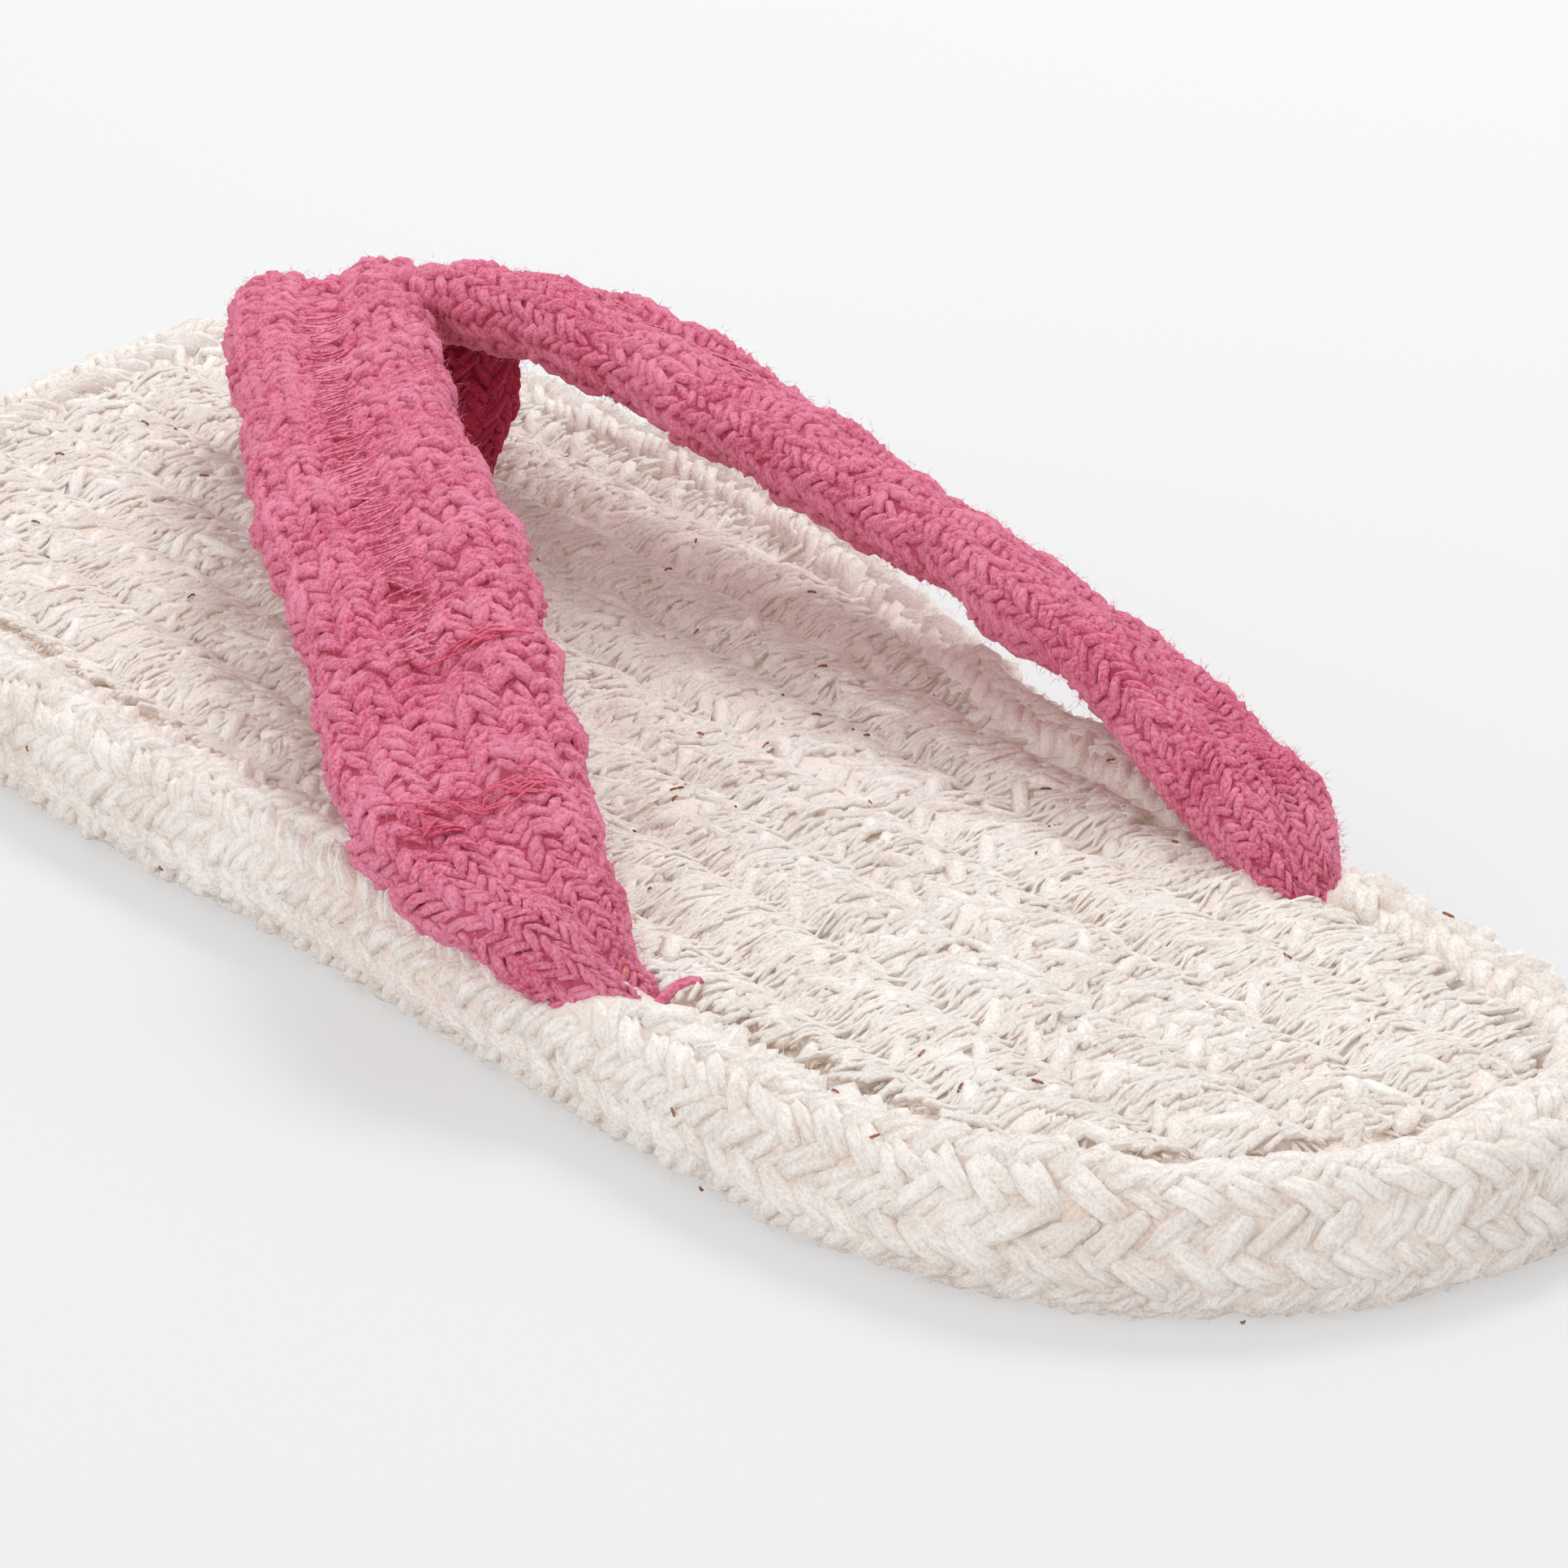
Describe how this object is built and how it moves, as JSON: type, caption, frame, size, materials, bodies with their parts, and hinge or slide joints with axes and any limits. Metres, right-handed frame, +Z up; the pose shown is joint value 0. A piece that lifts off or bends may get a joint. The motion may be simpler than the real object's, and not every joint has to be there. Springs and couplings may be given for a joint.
{
  "type": "toe post sandal",
  "caption": "Flat left-foot toe post sandal: a cream braided sole with a plump braided rim, and a V of broad pink double-cord straps held between the toes by a short post.",
  "frame": {"origin": "on the floor, under the middle of the sandal's bounding box", "axes": "+Y along the foot towards the toe, +X to the medial side (the big toe's side), +Z up"},
  "size_m": [0.0918, 0.252, 0.0328],
  "materials": {
    "cream_braid": "matte braided cotton, undyed",
    "pink_braid": "matte braided cotton, dyed pink"
  },
  "bodies": {
    "root": {"sole_rim": "cream_braid", "sole_rows": "cream_braid", "upper_straps": "pink_braid", "toe_post": "pink_braid"}
  },
  "joints": []
}
